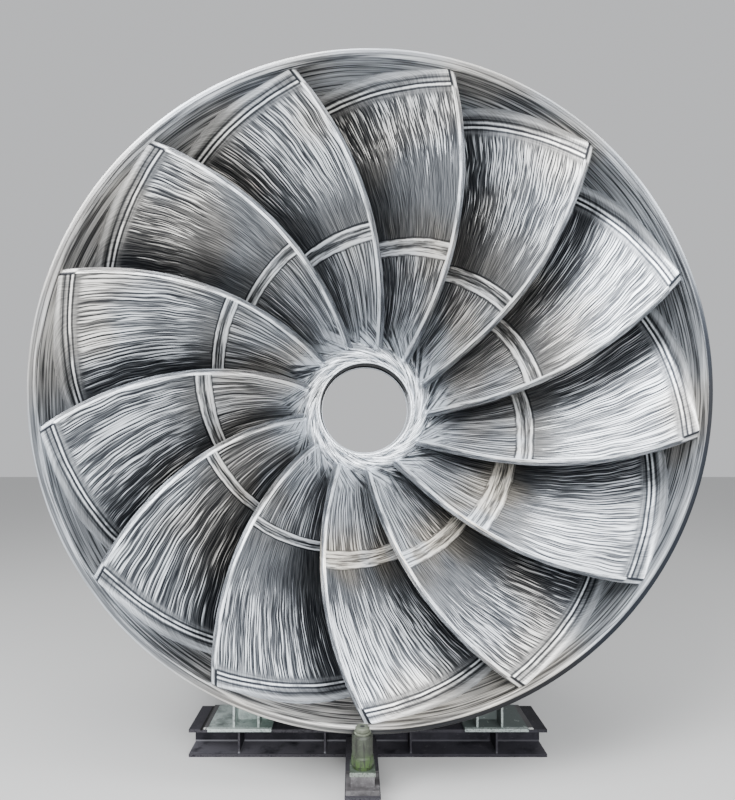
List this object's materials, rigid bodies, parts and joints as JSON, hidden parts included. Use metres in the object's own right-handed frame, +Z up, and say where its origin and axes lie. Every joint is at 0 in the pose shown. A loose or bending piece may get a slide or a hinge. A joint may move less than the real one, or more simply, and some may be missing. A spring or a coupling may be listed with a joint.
{
  "type": "francis turbine runner",
  "caption": "Large Francis turbine runner with ground twisted blades between crown and band, standing on edge in a welded beam cradle with a hydraulic jack in front.",
  "frame": {"origin": "centre of the bounding box on the floor, below the runner axis", "axes": "+Y along the runner axis from the outlet side at the front to the crown at the back, +X to the right seen from the front, +Z up"},
  "size_m": [6, 3.295, 6.58],
  "materials": {
    "ground_steel": "bright hand-ground stainless steel with coarse streaks",
    "smooth_steel": "finer ground stainless steel, darker and smoother",
    "machined_steel": "turned and polished steel",
    "dark_paint": "dull dark paint, dusty and scuffed",
    "pale_paint": "pale green-grey paint, worn",
    "jack_paint": "green-grey jack paint, brighter green at the foot",
    "bare_steel": "dull bare steel, oiled"
  },
  "bodies": {
    "runner_on_cradle": {"band": "ground_steel", "crown": "smooth_steel", "hub_ring": "machined_steel", "blade_outer_01": "ground_steel", "blade_outer_02": "ground_steel", "blade_outer_03": "ground_steel", "blade_outer_04": "ground_steel", "blade_outer_05": "ground_steel", "blade_outer_06": "ground_steel", "blade_outer_07": "ground_steel", "blade_outer_08": "ground_steel", "blade_outer_09": "ground_steel", "blade_outer_10": "ground_steel", "blade_outer_11": "ground_steel", "blade_outer_12": "ground_steel", "blade_outer_13": "ground_steel", "blade_root_01": "smooth_steel", "blade_root_02": "smooth_steel", "blade_root_03": "smooth_steel", "blade_root_04": "smooth_steel", "blade_root_05": "smooth_steel", "blade_root_06": "smooth_steel", "blade_root_07": "smooth_steel", "blade_root_08": "smooth_steel", "blade_root_09": "smooth_steel", "blade_root_10": "smooth_steel", "blade_root_11": "smooth_steel", "blade_root_12": "smooth_steel", "blade_root_13": "smooth_steel", "beam_front": "dark_paint", "beam_rear": "dark_paint", "tie_left": "dark_paint", "tie_right": "dark_paint", "saddle_front_left": "pale_paint", "saddle_front_right": "pale_paint", "saddle_rear_left": "pale_paint", "saddle_rear_right": "pale_paint", "jack_skid": "dark_paint", "jack_base_plate": "bare_steel", "jack_block": "bare_steel", "jack_foot": "pale_paint", "jack_barrel": "jack_paint", "jack_gland": "bare_steel"},
    "ram": {"jack_ram": "bare_steel"}
  },
  "joints": [
    {"name": "ram_slide", "type": "slide", "parent": "runner_on_cradle", "child": "ram", "axis": [0, 0, 1], "range_m": [0, 0.12]}
  ]
}
